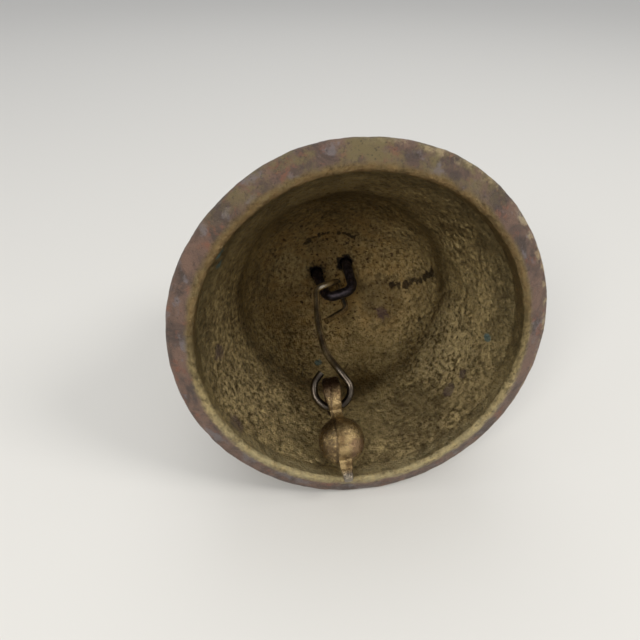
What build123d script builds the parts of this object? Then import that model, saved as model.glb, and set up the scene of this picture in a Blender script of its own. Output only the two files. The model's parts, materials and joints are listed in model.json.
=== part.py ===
"""Tibetan hand bell lying on its side, with a wire-hung clapper.

Everything is placed in the bell's own frame: right, down and back, where down is the way
to the surface the bell lies on, measured in the plane of the mouth, and back is the way
from the mouth to the handle. The bell rests on its lip and on two prongs of its finial.
Millimetres and degrees.
"""

import os
from math import acos, cos, degrees, hypot, radians, sin, tan

from build123d import *

os.makedirs("parts", exist_ok=True)

# ---- driving dimensions ------------------------------------------------------------
tilt = 13.5  # the mouth looks up by this angle while the bell lies on its side

lip_radius = 40.0  # outer edge of the mouth
lip_round = 1.2
band_radius = 38.4  # outside of the thick band behind the lip
band_back = 4.4
land_radius = 35.1  # inner edge of the mouth, which stands proud of the outer edge
land_width = 0.9
land_proud = 2.4
skirt_radius = 33.9  # inside, just behind the land
skirt_back = 2.0
dome_radius = 26.4  # inside of the domed end
crown_inside = 50.5
crown_outside = 54.5
waist_radius = 30.4
waist_back = 26.0
shoulder_radius = 29.2
shoulder_back = 37.0
seat_radius = 15.0  # flat top of the crown, where the handle sits
cord_rings = [(36.9, 7.6, 1.1), (30.4, 24.2, 1.2), (30.1, 28.4, 1.0), (29.1, 38.6, 1.1)]

staple_wire = 2.9
staple_turn = 16.6  # the pair of holes is turned about the bell's axis
staple_middle = (-0.2, -0.8)  # middle of the pair, right and down of the axis
hole_spacing = 9.26
hole_clearance = 0.3
staple_lean = 37.6  # the legs lean down from the crown
staple_reach = 9.5
staple_width = 8.2
leg_top = 61.0
hook_pivot_reach = 10.7  # the crook rocks on the lower side of the bar

socket_radius = 13.2
socket_length = 16.0
fill_radius = 9.0
fill_length = 8.0
rod_diameter = 4.0
rod_embedded = 2.5
rod_in_finial = 6.0
grip_length = 36.0
finial_length = 43.0
finial_cup_radius = 8.6
centre_prong_radius = 1.9
prong_radius = 1.8
prong_arc = 20.0
prong_middle = 129.0
prong_root = 3.4

hook_wire = 1.8
hook_tip = (-3.5, 10.5, 36.0)  # the crook's open end
crook_radius = 4.9  # about the line that the crook rocks on
crook_along = 0.4
crook_turns = (20, 70, 120, 170)  # from the lower side of the bar, round behind it
shank_route = [
    (-3.0, 0.0, 37.5),
    (-6.0, 1.0, 37.0),
    (-6.5, 8.5, 29.0),
    (-5.5, 13.0, 21.0),
    (-2.5, 15.5, 15.5),
]
loop_centre = (-4.8, 19.0, 13.0)
loop_radius = 4.8
loop_nod = 36.0  # the loop faces forwards and this much up
loop_turns = (-5, 30, 60, 90, 120, 160, 200, 240)  # from the right, down and round

ball_centre = (-4.0, 27.15, 2.75)
eye_centre = (-4.6, 21.4, 12.6)
eye_turn = 8.0
ball_radius = 5.5
eye_radius = 5.3
eye_hole = 3.8
eye_thick_top = 4.8
eye_thick_neck = 2.8
hook_in_eye = 2.6  # from the eye's centre to the wire that passes through it
neck_length = 7.5
tail_reach = 9.6
tail_width = 5.2
tail_tip = 2.0
tail_depth = 3.0

# ---- the bell's own frame ----------------------------------------------------------
rise = sin(radians(tilt))
run = cos(radians(tilt))
right = Vector(1, 0, 0)
down = Vector(0, -rise, -run)
back = Vector(0, run, -rise)

# Height of the mouth's centre over the surface, from the lip's rounded edge
to_land = Vector(land_radius - lip_radius, -land_proud).normalized()
to_band = Vector(band_radius - lip_radius, band_back).normalized()
half_corner = radians(to_land.get_angle(to_band)) / 2
round_centre = Vector(lip_radius, 0) + (to_land + to_band).normalized() * lip_round / sin(half_corner)
mouth_height = round_centre.X * run + round_centre.Y * rise + lip_round

# Halfway between the end of the clapper's tail and the tip of the finial
clapper_way = Vector(*ball_centre) - Vector(*eye_centre)
tail_end = Vector(*ball_centre) + clapper_way.normalized() * tail_reach
finial_tip = crown_outside + socket_length + grip_length + finial_length
mouth_along = (tail_end.Y * rise - tail_end.Z * run - finial_tip * run) / 2

mouth = Vector(0, mouth_along, mouth_height)
bell = Plane(origin=mouth, x_dir=right, z_dir=back)
half_section = Plane(origin=mouth, x_dir=down, z_dir=right)
axis = Axis(mouth, back)


def place(point):
    """Turns right, down and back in the bell's frame into the part's frame."""
    return bell.from_local_coords(Vector(*point))


def bend_radii(points):
    """The largest arcs that fit the runs of a bent wire, one for each corner."""
    radii = []
    for before, corner, after in zip(points, points[1:], points[2:]):
        first = corner - before
        second = after - corner
        half_turn = radians(first.get_angle(second)) / 2
        radii.append(0.45 * min(first.length, second.length) / tan(half_turn))
    return radii


# ---- bell body ---------------------------------------------------------------------
dome_centre = crown_inside - dome_radius
shoulder_bulge = (seat_radius + 10.6, crown_outside - 5.2)

with BuildPart() as bell_body:
    with BuildSketch(half_section):
        with BuildLine():
            Line((0, crown_outside), (0, crown_inside))
            RadiusArc((0, crown_inside), (dome_radius, dome_centre), dome_radius)
            Line((dome_radius, dome_centre), (skirt_radius, skirt_back))
            Line((skirt_radius, skirt_back), (land_radius - land_width, -land_proud))
            Line((land_radius - land_width, -land_proud), (land_radius, -land_proud))
            Line((land_radius, -land_proud), (lip_radius, 0))
            Line((lip_radius, 0), (band_radius, band_back))
            ThreePointArc((band_radius, band_back), (33.6, 13.5), (waist_radius, waist_back))
            Line((waist_radius, waist_back), (shoulder_radius, shoulder_back))
            ThreePointArc((shoulder_radius, shoulder_back), shoulder_bulge, (seat_radius, crown_outside))
            Line((seat_radius, crown_outside), (0, crown_outside))
        make_face()
        fillet(vertices().group_by(Axis.X)[-1], lip_round)
        fillet(vertices().sort_by_distance((band_radius, band_back))[0], lip_round)
        for ring_radius, ring_back, ring_size in cord_rings:
            with Locations((ring_radius, ring_back)):
                Circle(ring_size)
    revolve(axis=axis)
    with BuildSketch(bell.offset(crown_outside)):
        with Locations(staple_middle):
            with Locations(Rotation(0, 0, -staple_turn)):
                with GridLocations(hole_spacing, 0, 2, 1):
                    Circle(staple_wire / 2 + hole_clearance)
    extrude(amount=-2 * (crown_outside - crown_inside), mode=Mode.SUBTRACT)

bell_body.part.label = "bell_body"

# ---- staple: a U of iron wire, its legs through the crown and set in the fill ---------
turn = radians(staple_turn)
lean = radians(staple_lean)
along_staple = (cos(turn), -sin(turn))
down_staple = (sin(turn), cos(turn))
crown_bend = crown_inside - 1.0


def staple_point(across, reach, height):
    """A point of the staple: across the pair of holes, down its lean, and back."""
    x = staple_middle[0] + across * along_staple[0] + reach * sin(lean) * down_staple[0]
    y = staple_middle[1] + across * along_staple[1] + reach * sin(lean) * down_staple[1]
    return (x, y, height - reach * cos(lean))


half_spacing = hole_spacing / 2
half_bar = staple_width / 2
staple_route = [
    staple_point(-half_spacing, 0, leg_top),
    staple_point(-half_spacing, 0, crown_bend),
    staple_point(-half_bar, staple_reach, crown_bend),
    staple_point(half_bar, staple_reach, crown_bend),
    staple_point(half_spacing, 0, crown_bend),
    staple_point(half_spacing, 0, leg_top),
]
staple_points = [place(point) for point in staple_route]
staple_radii = [2.2, 2.8, 2.8, 2.2]

with BuildPart() as staple:
    with BuildLine() as staple_path:
        FilletPolyline(*staple_points, radius=staple_radii)
    with BuildSketch(Plane(origin=staple_points[0], z_dir=staple_points[1] - staple_points[0])):
        Circle(staple_wire / 2)
    sweep(path=staple_path.line)

staple.part.label = "staple"

# ---- handle: socket, grip and finial on an iron rod, with a fill in the socket --------
socket_back = crown_outside
grip_back = socket_back + socket_length
finial_back = grip_back + grip_length
rod_front = socket_back + fill_length - rod_embedded
rod_back = finial_back + rod_in_finial

with BuildPart() as socket_fill:
    with BuildSketch(bell.offset(socket_back)):
        Circle(fill_radius)
    extrude(amount=fill_length)
    with BuildSketch(bell.offset(socket_back)):
        with Locations(staple_middle):
            with Locations(Rotation(0, 0, -staple_turn)):
                with GridLocations(hole_spacing, 0, 2, 1):
                    Circle(staple_wire / 2)
    extrude(amount=leg_top - socket_back, mode=Mode.SUBTRACT)
    with BuildSketch(bell.offset(rod_front)):
        Circle(rod_diameter / 2)
    extrude(amount=fill_length, mode=Mode.SUBTRACT)

socket_fill.part.label = "socket_fill"

with BuildPart() as tie_rod:
    with BuildSketch(bell.offset(rod_front)):
        Circle(rod_diameter / 2)
    extrude(amount=rod_back - rod_front)

tie_rod.part.label = "tie_rod"

with BuildPart() as handle_socket:
    with BuildSketch(half_section):
        with BuildLine():
            Polyline(
                (rod_diameter / 2, socket_back + fill_length),
                (fill_radius, socket_back + fill_length),
                (fill_radius, socket_back),
                (socket_radius, socket_back),
                (socket_radius, socket_back + 1.6),
            )
            ThreePointArc(
                (socket_radius, socket_back + 1.6),
                (socket_radius - 1.0, socket_back + 6.0),
                (7.4, socket_back + 11.0),
            )
            ThreePointArc(
                (7.4, socket_back + 11.0),
                (6.2, socket_back + 13.0),
                (7.8, socket_back + socket_length),
            )
            Polyline(
                (7.8, socket_back + socket_length),
                (rod_diameter / 2, socket_back + socket_length),
                (rod_diameter / 2, socket_back + fill_length),
            )
        make_face()
    revolve(axis=axis)

handle_socket.part.label = "handle_socket"

grip_middle = grip_back + grip_length / 2
collar_radius = 8.4
collar_length = 3.2
neck_radius = 5.0
barrel_radius = 8.0

with BuildPart() as handle_grip:
    with BuildSketch(half_section):
        with BuildLine():
            Polyline(
                (neck_radius, grip_back + collar_length + 2.4),
                (neck_radius + 1.2, grip_back + collar_length),
                (collar_radius, grip_back + collar_length),
                (collar_radius, grip_back),
                (rod_diameter / 2, grip_back),
                (rod_diameter / 2, finial_back),
                (collar_radius, finial_back),
                (collar_radius, finial_back - collar_length),
                (neck_radius + 1.2, finial_back - collar_length),
                (neck_radius, finial_back - collar_length - 2.4),
            )
            ThreePointArc(
                (neck_radius, finial_back - collar_length - 2.4),
                (barrel_radius, grip_middle),
                (neck_radius, grip_back + collar_length + 2.4),
            )
        make_face()
        for ring_back in (grip_middle - 2.2, grip_middle + 2.2):
            with Locations((barrel_radius - 0.2, ring_back)):
                Circle(0.9)
    revolve(axis=axis)

handle_grip.part.label = "handle_grip"

# The outer prongs bulge just enough for two of them to meet the surface
prong_run = run * cos(radians(45))
prong_drop = prong_arc * hypot(prong_run, rise)
prong_axis_radius = (mouth_height - prong_radius - prong_middle * rise - prong_drop) / prong_run
prong_half_angle = degrees(acos((prong_root - prong_axis_radius) / prong_arc))
prong_start = prong_middle - prong_arc * sin(radians(prong_half_angle))
prong_end = prong_middle + prong_arc * sin(radians(prong_half_angle))

with BuildPart() as handle_finial:
    with BuildSketch(half_section):
        with BuildLine():
            Polyline(
                (finial_cup_radius, finial_back + 2.2),
                (finial_cup_radius, finial_back),
                (rod_diameter / 2, finial_back),
                (rod_diameter / 2, rod_back),
                (0, rod_back),
                (0, finial_tip),
                (0.8, finial_tip),
                (centre_prong_radius + 0.5, prong_end + 1.0),
                (centre_prong_radius + 1.5, prong_end),
                (centre_prong_radius + 1.5, prong_end - 2.4),
                (centre_prong_radius, prong_end - 4.0),
                (centre_prong_radius, prong_start + 6.0),
                (prong_root + 1.4, prong_start + 2.6),
            )
            ThreePointArc(
                (prong_root + 1.4, prong_start + 2.6),
                (finial_cup_radius - 2.0, finial_back + 5.6),
                (finial_cup_radius, finial_back + 2.2),
            )
        make_face()
    revolve(axis=axis)
    for turn_about_axis in (45, 135, 225, 315):
        outward = down.rotate(Axis((0, 0, 0), back), turn_about_axis)
        prong_plane = Plane(origin=mouth, x_dir=outward, z_dir=outward.cross(back))
        with BuildLine(prong_plane) as prong_path:
            ThreePointArc(
                (prong_root, prong_start),
                (prong_axis_radius + prong_arc, prong_middle),
                (prong_root, prong_end),
            )
        with BuildSketch(Plane(origin=prong_path.line @ 0, z_dir=prong_path.line % 0)):
            Circle(prong_radius)
        sweep(path=prong_path.line)

handle_finial.part.label = "handle_finial"

# ---- clapper hook: one bent wire, a crook round the staple and a loop in the eye ------
def crook_point(turn):
    """A point of the crook, at an angle about the line that it rocks on."""
    x, y, z = staple_point(crook_along, hook_pivot_reach, crown_bend)
    under = crook_radius * cos(radians(turn))
    behind = crook_radius * sin(radians(turn))
    return (x + under * down_staple[0], y + under * down_staple[1], z + behind)


def loop_point(turn):
    """A point of the loop, at an angle from its right, going down first."""
    x, y, z = loop_centre
    lower = loop_radius * sin(radians(turn))
    nod = radians(loop_nod)
    return (x + loop_radius * cos(radians(turn)), y + lower * cos(nod), z - lower * sin(nod))


crook = [crook_point(turn) for turn in crook_turns]
loop = [loop_point(turn) for turn in loop_turns]
hook_points = [place(point) for point in [hook_tip, *crook, *shank_route, *loop]]

with BuildPart() as clapper_hook:
    with BuildLine() as hook_path:
        FilletPolyline(*hook_points, radius=bend_radii(hook_points))
    with BuildSketch(Plane(origin=hook_points[0], z_dir=hook_points[1] - hook_points[0])):
        Circle(hook_wire / 2)
    sweep(path=hook_path.line)

clapper_hook.part.label = "clapper_hook"

# ---- clapper: eye, ball and square tail in one casting --------------------------------
ball_place = place(ball_centre)
clapper_axis = (ball_place - place(eye_centre)).normalized()
eye_side = place((cos(radians(eye_turn)), -sin(radians(eye_turn)), 0)) - mouth
eye_up = clapper_axis.cross(eye_side).normalized()
eye_axis = eye_up.cross(clapper_axis).normalized()
eye_distance = (ball_place - place(eye_centre)).length

# Local x runs along the eye's hole, local z from the eye to the tail
clapper_plane = Plane(origin=ball_place, x_dir=eye_axis, z_dir=clapper_axis)
# Seen through the eye's hole: x runs from the eye to the tail
through_eye = Plane(origin=ball_place, x_dir=clapper_axis, z_dir=eye_axis)
# Seen on the edge of the eye
edge_on = Plane(origin=ball_place, x_dir=clapper_axis, z_dir=eye_up)

with BuildPart() as clapper:
    with BuildSketch(through_eye):
        with Locations((-eye_distance, 0)):
            Circle(eye_radius)
    extrude(amount=eye_thick_top / 2, both=True)
    with BuildSketch(edge_on):
        with BuildLine():
            Polyline(
                (-eye_distance - eye_radius - 1, eye_thick_top / 2 - 0.5),
                (-eye_distance, eye_thick_top / 2),
                (-eye_distance + eye_radius, eye_thick_neck / 2),
                (0, eye_thick_neck / 2),
                (0, -eye_thick_neck / 2),
                (-eye_distance + eye_radius, -eye_thick_neck / 2),
                (-eye_distance, -eye_thick_top / 2),
                (-eye_distance - eye_radius - 1, -eye_thick_top / 2 + 0.5),
                close=True,
            )
        make_face()
    extrude(amount=eye_radius + 1, both=True, mode=Mode.INTERSECT)
    with BuildSketch(through_eye):
        with Locations((-eye_distance, 0)):
            Circle(eye_hole)
    extrude(amount=eye_thick_top, both=True, mode=Mode.SUBTRACT)
    fillet(edges(), 0.6)
    with BuildSketch(clapper_plane.offset(-neck_length)):
        Rectangle(eye_thick_neck, 4.4)
    with BuildSketch(clapper_plane):
        Rectangle(eye_thick_neck + 1.6, 7.0)
    loft()
    with Locations(clapper_plane):
        Sphere(ball_radius)
    with BuildSketch(clapper_plane):
        Rectangle(tail_width, tail_depth)
    with BuildSketch(clapper_plane.offset(tail_reach)):
        Rectangle(tail_tip, tail_depth - 0.6)
    loft()

clapper.part.label = "clapper"

# ---- export ------------------------------------------------------------------------
pieces = [
    bell_body,
    staple,
    socket_fill,
    tie_rod,
    handle_socket,
    handle_grip,
    handle_finial,
    clapper_hook,
    clapper,
]
for piece in pieces:
    export_step(piece.part, f"parts/{piece.part.label}.step")

bar = place(staple_point(0, hook_pivot_reach, crown_bend))
hook_axis = mouth - place((along_staple[0], along_staple[1], 0))
pivot = place(eye_centre) + clapper_axis * hook_in_eye
rim = place((0, land_radius - land_width / 2, -land_proud))
print("hook_swing at", bar, "axis", hook_axis)
print("clapper_swing at", pivot, "axis", eye_axis * -1)
print("mouth_rim at", rim, "axis", back * -1)
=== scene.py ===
"""Tibetan hand bell lying on its side on a pale table, seen into its mouth."""

import json
from math import atan2, cos, hypot, pi, radians, sin

import bmesh
import bpy
from mathutils import Matrix, Vector, noise


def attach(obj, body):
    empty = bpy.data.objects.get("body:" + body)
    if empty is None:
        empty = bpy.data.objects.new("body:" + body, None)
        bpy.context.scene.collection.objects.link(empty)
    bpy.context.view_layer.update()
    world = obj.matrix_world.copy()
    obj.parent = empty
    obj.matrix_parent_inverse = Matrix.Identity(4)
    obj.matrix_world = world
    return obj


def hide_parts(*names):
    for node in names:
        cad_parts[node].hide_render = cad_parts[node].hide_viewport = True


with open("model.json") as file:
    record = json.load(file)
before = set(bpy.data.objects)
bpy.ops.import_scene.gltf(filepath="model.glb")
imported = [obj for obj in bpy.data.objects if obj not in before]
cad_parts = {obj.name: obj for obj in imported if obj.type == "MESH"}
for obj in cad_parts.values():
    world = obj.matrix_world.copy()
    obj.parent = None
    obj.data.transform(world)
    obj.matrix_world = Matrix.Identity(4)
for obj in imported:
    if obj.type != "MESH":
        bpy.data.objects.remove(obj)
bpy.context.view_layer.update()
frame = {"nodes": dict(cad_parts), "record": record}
scene = bpy.context.scene
MM = 0.001
PARTING = -5.6 * MM  # where the halves of the clapper's mould met, right of the axis

# ---- the bell's own frame, from the flat rim of its mouth -------------------------------
rim = next(m for m in frame["record"]["mounts"] if m["name"] == "mouth_rim")
BACK = -Vector(rim["axis"]).normalized()
RIGHT = Vector((1, 0, 0))
DOWN = RIGHT.cross(BACK) * -1
RIM_RADIUS = 34.65 * MM
RIM_PROUD = 2.4 * MM
MOUTH = Vector(rim["pos_m"]) - DOWN * RIM_RADIUS + BACK * RIM_PROUD


def place(right, down, back):
    """A point given in millimetres in the bell's own frame."""
    return MOUTH + (RIGHT * right + DOWN * down + BACK * back) * MM


def around(angle, radius, back):
    """A point at an angle from the lower side, turning towards the right."""
    turn = radians(angle)
    return place(radius * sin(turn), radius * cos(turn), back)


def on_wall(turn, back):
    """A point of the inside wall, at a turn from the lower side."""
    if back > DOME_CENTRE:
        return around(turn, (DOME_RADIUS**2 - (back - DOME_CENTRE) ** 2) ** 0.5, back)
    share = (back - SKIRT_BACK) / (DOME_CENTRE - SKIRT_BACK)
    return around(turn, SKIRT_RADIUS + (DOME_RADIUS - SKIRT_RADIUS) * share, back)


# ---- node materials -------------------------------------------------------------------
class Graph:
    """A material's nodes, joined by plain calls."""

    def __init__(self, name):
        self.material = bpy.data.materials.new(name)
        self.material.use_nodes = True
        self.nodes = self.material.node_tree.nodes
        self.links = self.material.node_tree.links
        self.shader = self.nodes["Principled BSDF"]
        self.place = self.nodes.new("ShaderNodeTexCoord").outputs["Object"]

    def put(self, value, socket):
        if isinstance(value, bpy.types.NodeSocket):
            self.links.new(value, socket)
        else:
            socket.default_value = value

    def math(self, how, a, b=0.0, c=0.0):
        node = self.nodes.new("ShaderNodeMath")
        node.operation = how
        for value, socket in zip((a, b, c), node.inputs):
            self.put(value, socket)
        return node.outputs[0]

    def noise(self, scale, detail=4.0, rough=0.55, warp=0.0):
        node = self.nodes.new("ShaderNodeTexNoise")
        self.put(self.place, node.inputs["Vector"])
        node.inputs["Scale"].default_value = scale
        node.inputs["Detail"].default_value = detail
        node.inputs["Roughness"].default_value = rough
        node.inputs["Distortion"].default_value = warp
        return node.outputs["Fac"]

    def step(self, value, low, high, to_low=0.0, to_high=1.0):
        node = self.nodes.new("ShaderNodeMapRange")
        node.interpolation_type = "SMOOTHSTEP"
        self.put(value, node.inputs["Value"])
        for key, number in zip(("From Min", "From Max", "To Min", "To Max"), (low, high, to_low, to_high)):
            node.inputs[key].default_value = number
        return node.outputs["Result"]

    def mix(self, amount, under, over):
        node = self.nodes.new("ShaderNodeMix")
        node.data_type = "RGBA"
        self.put(amount, node.inputs["Factor"])
        for value, socket in ((under, node.inputs[6]), (over, node.inputs[7])):
            self.put(value if isinstance(value, bpy.types.NodeSocket) else (*value, 1.0), socket)
        return node.outputs[2]

    def bell_axes(self):
        """Right, down, distance from the bell's axis and distance back, in metres."""
        parts = []
        for way in (RIGHT, DOWN, BACK):
            node = self.nodes.new("ShaderNodeVectorMath")
            node.operation = "DOT_PRODUCT"
            self.put(self.place, node.inputs[0])
            node.inputs[1].default_value = way
            parts.append(self.math("SUBTRACT", node.outputs["Value"], MOUTH.dot(way)))
        across, under, back = parts
        squares = self.math("ADD", self.math("MULTIPLY", across, across), self.math("MULTIPLY", under, under))
        return across, under, self.math("SQRT", squares), back

    def spot(self, point, radius, ragged=0.5):
        """A ragged patch round a point, 1 in its middle."""
        node = self.nodes.new("ShaderNodeVectorMath")
        node.operation = "DISTANCE"
        self.put(self.place, node.inputs[0])
        node.inputs[1].default_value = point
        wobble = self.math("MULTIPLY_ADD", self.noise(420, 5, 0.65), 2 * ragged, -ragged)
        far = self.math("MULTIPLY_ADD", wobble, radius, node.outputs["Value"])
        return self.step(far, radius * 0.55, radius, 1.0, 0.0)

    def bump(self, height, distance, strength=1.0):
        node = self.nodes.new("ShaderNodeBump")
        self.put(height, node.inputs["Height"])
        node.inputs["Distance"].default_value = distance
        node.inputs["Strength"].default_value = strength
        self.links.new(node.outputs["Normal"], self.shader.inputs["Normal"])

    def finish(self, colour, rough, metallic):
        self.put(colour, self.shader.inputs["Base Color"])
        self.put(rough, self.shader.inputs["Roughness"])
        self.put(metallic, self.shader.inputs["Metallic"])
        return self.material


def both(graph, a, b):
    """Where two masks overlap."""
    return graph.math("MULTIPLY", a, b)


# ---- places on the casting: turn from the lower side, distance back, size, and how strong ----
DOME_RADIUS, DOME_CENTRE = 26.4, 24.1
SKIRT_RADIUS, SKIRT_BACK = 33.9, 2.0
PURPLE_PATCHES = ((50, 10, 2.0), (60, 10, 1.4), (-55, 2, 2.6), (50, 43, 2.6), (-80, 10, 2.4))
VERDIGRIS = ((80, 8, 1.3), (-125, 2, 1.8), (-15, 35, 1.4), (-120, 5, 1.2))
# Painted light: patches of the inside wall lightened to gold on the grain tops, where the light falls
PAINTED_LIGHT_AREAS = ((65, 20, 13, 0.55), (-100, 47, 7, 0.55), (-60, 10, 9, 0.30))
# Painted shade: patches of the inside wall darkened where shade falls
PAINTED_SHADE_AREAS = ((30, 10, 12, 0.45), (60, 45, 9, 0.45), (180, 30, 13, 0.45))
CRACK = tuple((78 + 2.5 * i, 44 - 1.5 * i, 1.3) for i in range(9))
SCRATCH = tuple((turn, 47.5, 0.9) for turn in range(150, 225, 7))
DARK_FLAWS = ((65, 33, 0.8), *CRACK, *SCRATCH)
HOLE_TURN = radians(16.6)
HALF_SPACING = 4.63
CROWN_INSIDE = 50.5
HOLE_RADIUS = 1.85
HOLES_RIGHT, HOLES_DOWN = -0.2, -0.8  # middle of the pair
STEP_RIGHT = HALF_SPACING * cos(HOLE_TURN)
STEP_DOWN = HALF_SPACING * sin(HOLE_TURN)
HOLES = tuple(
    place(HOLES_RIGHT + side * STEP_RIGHT, HOLES_DOWN - side * STEP_DOWN, CROWN_INSIDE) for side in (-1, 1)
)


def bell_bronze():
    g = Graph("bell_bronze")
    across, under, radius, back = g.bell_axes()
    broad = g.noise(60, 5, 0.6, warp=0.5)
    medium = g.noise(210, 6, 0.62)
    grain = g.noise(900, 6, 0.72)
    fine = g.noise(2300, 4, 0.7)
    pits = g.step(g.math("MULTIPLY_ADD", fine, 0.5, g.math("MULTIPLY", grain, 0.5)), 0.37, 0.47, 1.0, 0.0)
    # Rough cast wall: golden on the high grains, olive and near black in the pits
    wall = g.mix(g.step(grain, 0.36, 0.66), (0.095, 0.068, 0.029), (0.56, 0.430, 0.205))
    wall = g.mix(g.step(broad, 0.42, 0.64, 0.0, 0.55), wall, (0.42, 0.325, 0.155))
    wall = g.mix(g.step(medium, 0.50, 0.38, 0.0, 0.50), wall, (0.100, 0.070, 0.032))
    crown = g.step(back, 0.030, 0.046)
    wall = g.mix(both(g, crown, g.step(medium, 0.38, 0.64, 0.15, 0.75)), wall, (0.33, 0.215, 0.080))
    wall = g.mix(both(g, crown, g.step(g.noise(1100, 5), 0.57, 0.66)), wall, (0.060, 0.036, 0.018))
    # Painted shade: the upper wall just inside the lip, darkened to olive
    painted_shade_under_lip = both(g, g.step(back, 0.002, 0.012, 1.0, 0.0), g.step(under, 0.020, -0.006))
    wall = g.mix(g.math("MULTIPLY", painted_shade_under_lip, 0.66), wall, (0.105, 0.082, 0.038))
    # Painted shade: the upper side of the inside wall is darkened
    painted_shade_above = g.step(under, -0.006, -0.026)
    wall = g.mix(g.math("MULTIPLY", painted_shade_above, 0.35), wall, (0.085, 0.058, 0.026))
    # Painted shade along the step between the skirt and the domed end, dark on both sides of its line
    waist = g.math("ABSOLUTE", g.math("SUBTRACT", back, g.math("MULTIPLY_ADD", medium, 0.006, 0.0222)))
    wall = g.mix(g.step(waist, 0.0004, 0.0056, 0.46, 0.0), wall, (0.060, 0.040, 0.017))
    wall = g.mix(g.math("MULTIPLY", pits, 0.80), wall, (0.030, 0.021, 0.010))
    # Painted light on the lit parts of the inside wall, lightened on the grain tops
    for turn, depth, size, amount in PAINTED_LIGHT_AREAS:
        area = g.math("MULTIPLY", g.spot(on_wall(turn, depth), size * MM, 0.6), amount)
        wall = g.mix(both(g, area, g.step(grain, 0.38, 0.60)), wall, (0.60, 0.48, 0.25))
    # Painted shade on the shaded parts of the inside wall
    for turn, depth, size, amount in PAINTED_SHADE_AREAS:
        area = g.math("MULTIPLY", g.spot(on_wall(turn, depth), size * MM, 0.6), amount)
        wall = g.mix(area, wall, (0.070, 0.048, 0.022))
    for turn, depth, size in PURPLE_PATCHES:
        patch = g.spot(on_wall(turn, depth), size * MM, 0.9)
        wall = g.mix(g.math("MULTIPLY", patch, 0.60), wall, (0.085, 0.055, 0.070))
    for turn, depth, size in VERDIGRIS:
        patch = g.spot(on_wall(turn, depth), size * MM, 1.3)
        wall = g.mix(g.math("MULTIPLY", patch, 0.75), wall, (0.090, 0.175, 0.180))
    for turn, depth, size in DARK_FLAWS:
        patch = g.spot(on_wall(turn, depth), size * MM, 1.9)
        wall = g.mix(g.math("MULTIPLY", patch, 0.85), wall, (0.022, 0.014, 0.009))
    # Painted shade: a dark ragged patch round each hole, in the gap round the staple's legs
    for hole in HOLES:
        wall = g.mix(g.spot(hole, 3.6 * MM, 0.9), wall, (0.016, 0.012, 0.010))
    # Lip band: brown with cuprite red and purple grey, olive where it has been rubbed
    mottle = g.step(g.noise(170, 6, 0.66, warp=0.8), 0.36, 0.64)
    red = g.mix(mottle, (0.070, 0.048, 0.038), (0.175, 0.105, 0.074))
    red = g.mix(g.step(g.noise(330, 6, 0.68), 0.53, 0.66, 0.0, 0.70), red, (0.225, 0.088, 0.050))
    red = g.mix(g.step(g.noise(260, 5, 0.6), 0.55, 0.66, 0.0, 0.8), red, (0.165, 0.140, 0.138))
    rubbed = both(g, g.step(g.noise(150, 6, 0.7), 0.44, 0.60), g.step(under, -0.022, -0.034))
    red = g.mix(rubbed, red, (0.155, 0.118, 0.052))
    red = g.mix(g.math("MULTIPLY", pits, 0.7), red, (0.035, 0.024, 0.018))
    edge_of_lip = g.math("MULTIPLY_ADD", medium, 0.0022, 0.0346)
    on_lip = g.step(g.math("SUBTRACT", radius, edge_of_lip), -0.0004, 0.0009)
    on_lip = both(g, on_lip, g.step(back, 0.0054, 0.0038))
    colour = g.mix(on_lip, wall, red)
    outside = g.step(back, 0.0040, 0.0060)
    flare = g.math("ADD", radius, g.math("MULTIPLY", back, 0.339))
    outside = both(g, outside, g.step(flare, 0.0362, 0.0368))
    brown = g.mix(g.step(broad, 0.36, 0.66), (0.105, 0.070, 0.036), (0.25, 0.175, 0.080))
    brown = g.mix(g.step(medium, 0.56, 0.68, 0.0, 0.5), brown, (0.33, 0.245, 0.120))
    brown = g.mix(g.math("MULTIPLY", pits, 0.75), brown, (0.03, 0.022, 0.014))
    colour = g.mix(outside, colour, brown)
    # The inner edge is orange brown above; below, where the bell lies, it is rubbed to gold and lightened
    # further as a painted highlight
    inner_edge = both(g, g.step(radius, 0.0334, 0.0342), g.step(radius, 0.0366, 0.0350))
    inner_edge = both(g, inner_edge, g.step(back, 0.0030, -0.0004))
    broken = g.step(g.noise(420, 6, 0.7), 0.36, 0.60, 0.25, 1.0)
    orange = both(g, inner_edge, both(g, broken, g.step(under, 0.004, -0.010, 0.0, 0.5)))
    colour = g.mix(orange, colour, (0.215, 0.125, 0.050))
    worn_gold_and_highlight = both(g, both(g, inner_edge, broken), g.step(under, 0.002, 0.030, 0.0, 0.80))
    colour = g.mix(worn_gold_and_highlight, colour, (0.43, 0.36, 0.20))
    # Painted highlight: the outer edge of the lip lightened to gold on the right, where the light falls,
    # broken by noise
    painted_highlight_outer_edge = both(g, g.step(radius, 0.0386, 0.0395), g.step(back, 0.0026, 0.0006))
    painted_highlight_outer_edge = both(g, painted_highlight_outer_edge, g.step(g.noise(520, 6, 0.7), 0.46, 0.62, 0.0, 0.65))
    colour = g.mix(both(g, painted_highlight_outer_edge, g.step(across, -0.006, 0.016)), colour, (0.42, 0.33, 0.18))
    rough = g.math("MULTIPLY_ADD", grain, 0.26, 0.20)
    rough = g.math("ADD", rough, g.math("MULTIPLY", on_lip, 0.10))
    metal = g.math("SUBTRACT", 0.88, g.math("MULTIPLY", on_lip, 0.50))
    g.bump(g.math("ADD", g.math("MULTIPLY", fine, 0.45), grain), 0.00060, 1.0)
    return g.finish(colour, rough, metal)


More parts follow.
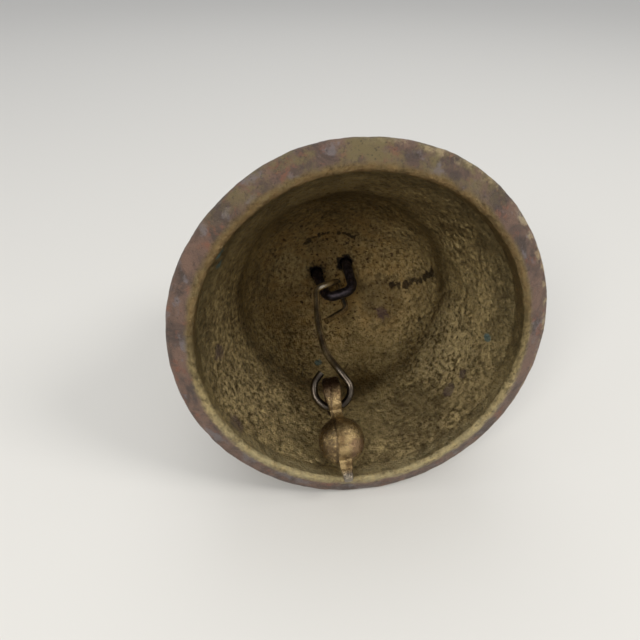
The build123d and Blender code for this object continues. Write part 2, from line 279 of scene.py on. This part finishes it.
def handle_brass():
    g = Graph("handle_brass")
    broad = g.noise(110, 6, 0.62, warp=0.5)
    fine = g.noise(1300, 5, 0.7)
    colour = g.mix(g.step(broad, 0.38, 0.64), (0.085, 0.055, 0.026), (0.33, 0.235, 0.10))
    colour = g.mix(g.step(g.noise(320, 5), 0.58, 0.68, 0.0, 0.6), colour, (0.48, 0.37, 0.18))
    colour = g.mix(g.step(fine, 0.60, 0.70, 0.0, 0.7), colour, (0.035, 0.025, 0.014))
    g.bump(g.math("ADD", fine, g.noise(400, 5)), 0.00025, 0.6)
    return g.finish(colour, g.math("MULTIPLY_ADD", broad, 0.25, 0.30), 0.9)


def clapper_brass():
    g = Graph("clapper_brass")
    across, _, _, depth = g.bell_axes()
    fine = g.noise(1600, 6, 0.72)
    broad = g.noise(300, 6, 0.62, warp=0.6)
    colour = g.mix(g.step(broad, 0.36, 0.64), (0.130, 0.082, 0.036), (0.37, 0.265, 0.125))
    # The left third stayed rough beyond the mould's parting line
    rough_side = g.step(g.math("MULTIPLY_ADD", broad, 0.0012, across), -0.0050, -0.0058)
    speckle = both(g, rough_side, g.step(fine, 0.47, 0.56))
    colour = g.mix(g.math("MULTIPLY", speckle, 0.80), colour, (0.10, 0.072, 0.045))
    seam = g.math("ABSOLUTE", g.math("SUBTRACT", across, PARTING))
    colour = g.mix(g.step(seam, 0.00005, 0.00045, 0.65, 0.0), colour, (0.060, 0.040, 0.024))
    red = g.spot(place(-0.6, 25.8, -2.0), 3.0 * MM, 0.9)
    colour = g.mix(g.math("MULTIPLY", red, 0.50), colour, (0.20, 0.105, 0.075))
    colour = g.mix(g.step(fine, 0.58, 0.68, 0.0, 0.6), colour, (0.055, 0.036, 0.020))
    # The eye's top is darkened to red brown: red-brown patina, deepened as painted shade
    top = g.step(g.math("MULTIPLY_ADD", broad, 0.002, depth), 0.0080, 0.0122)
    colour = g.mix(g.math("MULTIPLY", top, 0.93), colour, (0.042, 0.021, 0.013))
    colour = g.mix(g.step(depth, -0.0042, -0.0056, 0.0, 0.65), colour, (0.22, 0.205, 0.18))
    g.bump(g.math("ADD", fine, broad), 0.0003, 0.8)
    return g.finish(colour, g.math("MULTIPLY_ADD", fine, 0.30, 0.14), 0.92)


def dark_iron(name):
    g = Graph(name)
    fine = g.noise(1100, 6, 0.7)
    colour = g.mix(g.step(fine, 0.42, 0.62), (0.012, 0.010, 0.012), (0.050, 0.038, 0.044))
    colour = g.mix(g.step(g.noise(500, 5), 0.60, 0.70, 0.0, 0.5), colour, (0.11, 0.055, 0.03))
    g.bump(fine, 0.0002, 0.6)
    return g.finish(colour, g.math("MULTIPLY_ADD", fine, 0.3, 0.26), 0.75)


def steel_wire():
    g = Graph("steel_wire")
    depth = g.bell_axes()[3]
    fine = g.noise(1900, 5, 0.7)
    broad = g.noise(420, 5, 0.6)
    colour = g.mix(g.step(broad, 0.36, 0.62), (0.200, 0.165, 0.120), (0.46, 0.40, 0.305))
    colour = g.mix(g.step(fine, 0.56, 0.66, 0.0, 0.7), colour, (0.060, 0.045, 0.034))
    # Painted shade: the loop is darkened where it sits in the clapper's eye
    colour = g.mix(g.step(depth, 0.0190, 0.0140, 0.0, 0.88), colour, (0.034, 0.026, 0.021))
    g.bump(fine, 0.00012, 0.5)
    return g.finish(colour, g.math("MULTIPLY_ADD", fine, 0.20, 0.12), 0.95)


def lac_fill():
    g = Graph("lac_fill")
    grain = g.noise(700, 6, 0.65)
    colour = g.mix(g.step(grain, 0.4, 0.65), (0.045, 0.018, 0.010), (0.13, 0.06, 0.035))
    g.bump(grain, 0.0003, 0.6)
    return g.finish(colour, g.math("MULTIPLY_ADD", grain, 0.3, 0.5), 0.0)


MATERIALS = {
    "bell_bronze": bell_bronze(),
    "handle_brass": handle_brass(),
    "clapper_brass": clapper_brass(),
    "iron_staple": dark_iron("iron_staple"),
    "iron_rod": dark_iron("iron_rod"),
    "steel_wire": steel_wire(),
    "lac_fill": lac_fill(),
}
for part in frame["record"]["subparts"]:
    mesh = frame["nodes"][part["node"]].data
    mesh.materials.clear()
    mesh.materials.append(MATERIALS[part["material_slot"]])


# ---- bell casting ---------------------------------------------------------------------
def run_between(start, end, spacing):
    """Points from start towards end, without the end."""
    count = max(1, round(hypot(end[0] - start[0], end[1] - start[1]) / spacing))
    return [tuple(a + (b - a) * i / count for a, b in zip(start, end)) for i in range(count)]


def arc_points(centre, radius, start, end, count):
    """Points of an arc, angles in degrees from the radius direction, without the end."""
    turns = [radians(start + (end - start) * i / count) for i in range(count)]
    return [(centre[0] + radius * cos(t), centre[1] + radius * sin(t)) for t in turns]


def three_point_arc(start, middle, end, count):
    """Points of the circle through three points, from start, without the end."""
    (ax, ay), (bx, by), (cx, cy) = start, middle, end
    d = 2 * (ax * (by - cy) + bx * (cy - ay) + cx * (ay - by))
    ux = ((ax**2 + ay**2) * (by - cy) + (bx**2 + by**2) * (cy - ay) + (cx**2 + cy**2) * (ay - by)) / d
    uy = ((ax**2 + ay**2) * (cx - bx) + (bx**2 + by**2) * (ax - cx) + (cx**2 + cy**2) * (bx - ax)) / d
    first, mid, last = (atan2(y - uy, x - ux) for x, y in (start, middle, end))
    sweep = (last - first) % (2 * pi)
    if (mid - first) % (2 * pi) > sweep:
        sweep -= 2 * pi
    size = hypot(ax - ux, ay - uy)
    turns = [first + sweep * i / count for i in range(count)]
    return [(ux + size * cos(t), uy + size * sin(t)) for t in turns]


SEGMENTS = 560
BEAD_COUNT = 64
BEAD_ROW = 26.3
DOME_COUNT = 64
WAIST_COUNT = 16
PETALS = 16

SKIRT_TOP = (27.76, 20.1)
SKIRT_FOOT = (SKIRT_RADIUS, SKIRT_BACK)
LAND_INNER = (34.05, -1.2)
LAND_OUTER = (35.5, -2.15)
LIP_FRONT = (38.75, -0.6)
LIP_BACK = (39.45, 1.5)
WAIST = (30.4, 26.0)
SHOULDER = (29.2, 37.0)
SEAT = (15.0, 54.5)

profile = arc_points((0, DOME_CENTRE), DOME_RADIUS, 89.4, 9.0, DOME_COUNT)
profile += three_point_arc((26.07, 28.2), (26.62, 24.2), SKIRT_TOP, WAIST_COUNT)
profile += run_between(SKIRT_TOP, SKIRT_FOOT, 0.45)
INNER_COUNT = len(profile)
profile += run_between(SKIRT_FOOT, LAND_INNER, 0.4)
profile += three_point_arc(LAND_INNER, (34.45, -2.2), LAND_OUTER, 9)
profile += run_between(LAND_OUTER, LIP_FRONT, 0.4)
profile += three_point_arc(LIP_FRONT, (39.66, 0.35), LIP_BACK, 6)
profile += run_between(LIP_BACK, (38.5, 4.1), 0.5)
profile += three_point_arc((38.4, 4.5), (33.6, 13.5), WAIST, 60)
profile += run_between(WAIST, SHOULDER, 0.4)
profile += three_point_arc(SHOULDER, (25.6, 49.3), SEAT, 50)
profile += run_between(SEAT, (0.3, SEAT[1]), 0.8)
CORD_RINGS = ((7.6, 1.1), (24.2, 1.2), (28.4, 1.0), (38.6, 1.1))  # distance back, size


def out_of_round(angle):
    """How far the lip stands out from a circle: fuller at the right and above, faceted all round."""
    right_side = max(0.0, cos(angle - radians(100))) ** 2
    top_side = max(0.0, cos(angle - pi)) ** 2
    left_side = max(0.0, cos(angle - radians(290))) ** 2
    return 1.25 * right_side + 0.55 * top_side + 0.75 * left_side - 0.10 * (1 - cos(7 * angle + 0.7))


def relief(index, angle, radius, back, point):
    """How far the surface stands off the plain turned shape, in millimetres."""
    where = point * 1000
    if index < INNER_COUNT:
        grain = noise.noise(where * 0.9) * 0.16 + noise.noise(where * 2.3) * 0.10
        swell = noise.noise(where * 0.16 + Vector((5, 1, 9))) * 0.35
        pit = min(0.0, noise.noise(where * 1.5 + Vector((3, 7, 2))) + 0.28) * 0.9
        return -(grain + swell) * min(1.0, radius / 4) - pit * 0.5
    height = noise.noise(where * 0.35) * 0.12 + noise.noise(where * 1.6) * 0.05
    if radius > 28 and back > 5:
        for ring_back, size in CORD_RINGS:
            across = abs(back - ring_back) / size
            if across < 1:
                height += size * 0.55 * (1 - across * across) * (0.86 + 0.14 * cos(angle * 150 + back * 3))
        row = (back - BEAD_ROW) / 1.05
        along = ((angle * BEAD_COUNT / (2 * pi)) % 1 - 0.5) / 0.42
        inside = 1 - row * row - along * along
        if inside > 0:
            height += 0.75 * inside**0.5
    # A ring of plain petals round the crown, each with a raised middle
    reach = (26.5 - radius) / 10.0
    if back > 44 and 0 < reach < 1:
        petal = abs(cos(angle * PETALS / 2))
        edge = petal**0.5 - reach * 0.75
        height += 0.45 * min(1.0, max(0.0, edge * 4)) * sin(pi * min(1.0, reach * 1.1 + 0.05))
    return height


def normals_of(points):
    """Unit normals of the profile, on the metal's outer side."""
    out = []
    for i in range(len(points)):
        (ax, ay), (bx, by) = points[max(i - 1, 0)], points[min(i + 1, len(points) - 1)]
        length = hypot(bx - ax, by - ay) or 1.0
        out.append((-(by - ay) / length, (bx - ax) / length))
    return out


def bell_casting():
    work = bmesh.new()
    normals = normals_of(profile)
    rings = []
    for index, ((radius, back), (nr, nb)) in enumerate(zip(profile, normals)):
        ring = []
        lip_share = min(1.0, max(0.0, (radius - 30) / 8)) * (1.0 if back < 12 else 0.0)
        for step in range(SEGMENTS):
            angle = 2 * pi * step / SEGMENTS
            base = place(radius * sin(angle), radius * cos(angle), back)
            # The lower side stays true, because the bell rests on it
            lifted = 0.5 - 0.5 * cos(angle)
            off = relief(index, angle, radius, back, base) * -1
            squeeze = out_of_round(angle) * lip_share * lifted
            r = radius + nr * off + squeeze
            b = back + nb * off
            ring.append(work.verts.new(place(r * sin(angle), r * cos(angle), b)))
        rings.append(ring)
    for first, second in zip(rings, rings[1:]):
        for i in range(SEGMENTS):
            j = (i + 1) % SEGMENTS
            work.faces.new((first[i], first[j], second[j], second[i]))
    work.faces.new(rings[0][::-1])
    work.faces.new(rings[-1])
    bmesh.ops.recalc_face_normals(work, faces=work.faces)
    for face in work.faces:
        face.smooth = True
    mesh = bpy.data.meshes.new("bell_casting")
    work.to_mesh(mesh)
    work.free()
    casting = bpy.data.objects.new("bell_casting", mesh)
    scene.collection.objects.link(casting)
    mesh.materials.append(MATERIALS["bell_bronze"])
    return casting


def drill(piece, point, way, radius, length):
    """Cuts a hole through a piece and leaves nothing of the tool."""
    work = bmesh.new()
    turn = way.to_track_quat("Z", "Y").to_matrix().to_4x4()
    bmesh.ops.create_cone(
        work, cap_ends=True, segments=40, radius1=radius, radius2=radius, depth=length,
        matrix=Matrix.Translation(point) @ turn,
    )
    for vert in work.verts:
        vert.co += Vector(noise.noise_vector(vert.co * 900)) * 0.00012
    mesh = bpy.data.meshes.new("tool")
    work.to_mesh(mesh)
    work.free()
    tool = bpy.data.objects.new("tool", mesh)
    scene.collection.objects.link(tool)
    cut = piece.modifiers.new("hole", "BOOLEAN")
    cut.operation = "DIFFERENCE"
    cut.solver = "EXACT"
    cut.object = tool
    bpy.context.view_layer.update()
    shape = bpy.data.meshes.new_from_object(piece.evaluated_get(bpy.context.evaluated_depsgraph_get()))
    piece.modifiers.clear()
    piece.data = shape
    bpy.data.objects.remove(tool)


casting = bell_casting()
for hole in HOLES:
    drill(casting, hole + BACK * 2 * MM, BACK, HOLE_RADIUS * MM, 12 * MM)
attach(casting, "bell")
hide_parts("bell_body")


# ---- clapper casting: the CAD shape, softened and roughened as it came from the mould ----
def clapper_casting():
    work = bmesh.new()
    work.from_mesh(frame["nodes"]["clapper"].data)
    bmesh.ops.remove_doubles(work, verts=work.verts, dist=1e-6)
    mesh = bpy.data.meshes.new("clapper_casting")
    work.to_mesh(mesh)
    work.free()
    piece = bpy.data.objects.new("clapper_casting", mesh)
    scene.collection.objects.link(piece)
    remesh = piece.modifiers.new("remesh", "REMESH")
    remesh.mode = "VOXEL"
    remesh.voxel_size = 0.2 * MM
    bpy.context.view_layer.update()
    mesh = bpy.data.meshes.new_from_object(piece.evaluated_get(bpy.context.evaluated_depsgraph_get()))
    piece.modifiers.clear()
    piece.data = mesh
    work = bmesh.new()
    work.from_mesh(mesh)
    every_axis = {"use_axis_x": True, "use_axis_y": True, "use_axis_z": True}
    for _ in range(5):
        bmesh.ops.smooth_vert(work, verts=work.verts, factor=0.5, **every_axis)
    work.normal_update()
    for vert in work.verts:
        where = vert.co / MM
        # Only inwards, so that the clapper keeps its room in the hook's loop
        depth = abs(noise.noise(where * 0.5)) * 0.16 + abs(noise.noise(where * 1.9)) * 0.06
        if vert.co.x < PARTING:
            depth += abs(noise.noise(where * 3.1)) * 0.16
        depth += max(0.0, 1 - abs(vert.co.x - PARTING) / (0.40 * MM)) * 0.24
        vert.co -= vert.normal * depth * MM
    for face in work.faces:
        face.smooth = True
    work.to_mesh(mesh)
    work.free()
    mesh.materials.clear()
    mesh.materials.append(MATERIALS["clapper_brass"])
    return piece


clapper = clapper_casting()
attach(clapper, "clapper")
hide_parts("clapper")


# ---- rows of beads on the handle -------------------------------------------------------
def bead_row(name, radius, back, bead, count):
    work = bmesh.new()
    for i in range(count):
        centre = around(360 * i / count, radius, back)
        there = Matrix.Translation(centre)
        made = bmesh.ops.create_icosphere(work, subdivisions=3, radius=bead * MM, matrix=there)
        for vert in made["verts"]:
            vert.co += (vert.co - centre) * noise.noise(vert.co * 1400) * 0.22
    for face in work.faces:
        face.smooth = True
    mesh = bpy.data.meshes.new(name)
    work.to_mesh(mesh)
    work.free()
    mesh.materials.append(MATERIALS["handle_brass"])
    row = bpy.data.objects.new(name, mesh)
    scene.collection.objects.link(row)
    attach(row, "bell")


bead_row("beads_socket", radius=12.9, back=55.9, bead=0.85, count=46)
bead_row("beads_grip_front", radius=8.3, back=72.1, bead=0.70, count=36)
bead_row("beads_grip_back", radius=8.3, back=104.9, bead=0.70, count=36)

# ---- table, light and camera ------------------------------------------------------------
TABLE_HALF = 8.0
work = bmesh.new()
bmesh.ops.create_grid(work, x_segments=8, y_segments=8, size=TABLE_HALF)
table_mesh = bpy.data.meshes.new("table")
work.to_mesh(table_mesh)
work.free()
table = bpy.data.objects.new("table", table_mesh)
scene.collection.objects.link(table)
pale = Graph("table")
table_mesh.materials.append(pale.finish((0.65, 0.638, 0.605, 1.0), 0.46, 0.0))

world = bpy.data.worlds.new("studio")
world.use_nodes = True
world.node_tree.nodes["Background"].inputs["Color"].default_value = (0.98, 0.985, 1.0, 1.0)
world.node_tree.nodes["Background"].inputs["Strength"].default_value = 0.62
scene.world = world


def area_light(name, where, aim, size, watts, colour):
    data = bpy.data.lights.new(name, "AREA")
    data.shape = "DISK"
    data.size = size
    data.energy = watts
    data.color = colour
    lamp = bpy.data.objects.new(name, data)
    lamp.location = where
    lamp.rotation_euler = (aim - where).to_track_quat("-Z", "Y").to_euler()
    scene.collection.objects.link(lamp)


area_light("window", Vector((0.55, -0.30, 0.60)), MOUTH, size=0.30, watts=2.7, colour=(1.0, 0.98, 0.95))
area_light("overhead", Vector((0.05, 0.45, 1.00)), MOUTH, size=0.90, watts=2.2, colour=(1.0, 1.0, 1.0))
area_light("room", Vector((-0.34, -0.50, 0.40)), MOUTH, size=0.24, watts=2.2, colour=(1.0, 0.98, 0.94))

LENS = 28.125
CAMERA_PLACE = place(-17.2, -44.7, -93.9)
camera_data = bpy.data.cameras.new("camera")
camera_data.lens = LENS
camera_data.sensor_width = 36.0
camera_data.clip_start = 0.005
camera = bpy.data.objects.new("camera", camera_data)
camera.location = CAMERA_PLACE
camera.rotation_euler = (radians(53.8), 0.0, radians(-6.0))
scene.collection.objects.link(camera)
scene.camera = camera
scene.view_settings.view_transform = "Standard"

bpy.context.view_layer.update()
